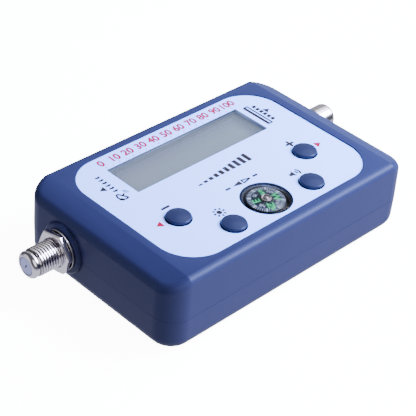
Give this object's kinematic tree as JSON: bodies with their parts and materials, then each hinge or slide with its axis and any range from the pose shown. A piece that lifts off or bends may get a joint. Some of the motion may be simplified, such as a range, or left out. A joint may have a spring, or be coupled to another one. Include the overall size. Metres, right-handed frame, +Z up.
{
  "type": "satellite signal meter",
  "caption": "Hand-held satellite signal meter: a shallow two-shell case with a display, press buttons, an inset compass and a threaded coaxial port on each end.",
  "frame": {"origin": "the middle of the underside: x and y halfway across the whole part, z = 0 on the flat that the case rests on", "axes": "+X along the line of the two ports, +Y towards the display side of the top, +Z up out of the front label"},
  "size_m": [0.138, 0.069, 0.028],
  "materials": {
    "blue_plastic": "fine-textured moulded blue plastic",
    "button_plastic": "smooth moulded blue plastic",
    "label_film": "satin printed film, pale blue",
    "clear_plastic": "clear polished plastic",
    "display_glass": "grey-green display glass, unlit",
    "white_plastic": "plain white plastic",
    "contact_rubber": "pink conductive rubber",
    "black_plastic": "plain black plastic",
    "card_black": "printed black card",
    "switch_steel": "plain steel",
    "circuit_board": "green solder mask over glass fibre",
    "tinned_steel": "tinned steel",
    "nickel": "bright nickel plate",
    "brass": "turned brass",
    "screw_steel": "plain steel",
    "magnet": "sintered magnet"
  },
  "bodies": {
    "case": {"top_cover": "blue_plastic", "bottom_cover": "blue_plastic", "front_label": "label_film", "display_window": "clear_plastic", "lcd_glass": "display_glass", "lcd_holder": "black_plastic", "lcd_light_guide": "white_plastic", "lcd_contact_strip_front": "contact_rubber", "lcd_contact_strip_back": "contact_rubber", "compass_cup": "black_plastic", "compass_dome": "clear_plastic", "compass_pivot": "brass", "main_board": "circuit_board", "microcontroller": "black_plastic", "voltage_regulator": "black_plastic", "crystal": "tinned_steel", "capacitor_1": "tinned_steel", "capacitor_2": "tinned_steel", "buzzer": "black_plastic", "board_screw_1": "screw_steel", "board_screw_2": "screw_steel", "board_screw_3": "screw_steel", "board_screw_4": "screw_steel", "radio_board": "circuit_board", "radio_screw_left": "screw_steel", "radio_screw_right": "screw_steel", "radio_shield": "tinned_steel", "board_header": "black_plastic", "case_screw_1": "screw_steel", "case_screw_2": "screw_steel", "case_screw_3": "screw_steel", "case_screw_4": "screw_steel", "level_down_switch": "switch_steel", "level_up_switch": "switch_steel", "light_switch": "switch_steel", "buzzer_switch": "switch_steel", "port_body_left": "nickel", "port_body_right": "nickel", "port_insulator_left": "white_plastic", "port_insulator_right": "white_plastic", "port_contact_left": "brass", "port_contact_right": "brass", "port_washer_left": "nickel", "port_washer_right": "nickel", "port_nut_left": "nickel", "port_nut_right": "nickel"},
    "level_down": {"level_down_button": "button_plastic", "level_down_plunger": "black_plastic"},
    "level_up": {"level_up_button": "button_plastic", "level_up_plunger": "black_plastic"},
    "light": {"light_button": "button_plastic", "light_plunger": "black_plastic"},
    "buzzer": {"buzzer_button": "button_plastic", "buzzer_plunger": "black_plastic"},
    "compass_rose": {"compass_card": "card_black", "compass_magnet": "magnet", "compass_bearing": "nickel"}
  },
  "joints": [
    {"name": "level_down_press", "type": "slide", "parent": "case", "child": "level_down", "axis": [0, 0, -1], "range_m": [0, 0.0005], "stiffness_N_per_m": 3200},
    {"name": "level_up_press", "type": "slide", "parent": "case", "child": "level_up", "axis": [0, 0, -1], "range_m": [0, 0.0005], "stiffness_N_per_m": 3200},
    {"name": "light_press", "type": "slide", "parent": "case", "child": "light", "axis": [0, 0, -1], "range_m": [0, 0.0005], "stiffness_N_per_m": 3200},
    {"name": "buzzer_press", "type": "slide", "parent": "case", "child": "buzzer", "axis": [0, 0, -1], "range_m": [0, 0.0005], "stiffness_N_per_m": 3200},
    {"name": "compass_turn", "type": "hinge", "parent": "case", "child": "compass_rose", "pos_m": [0, -0.0196, 0], "axis": [0, 0, 1], "continuous": true}
  ]
}
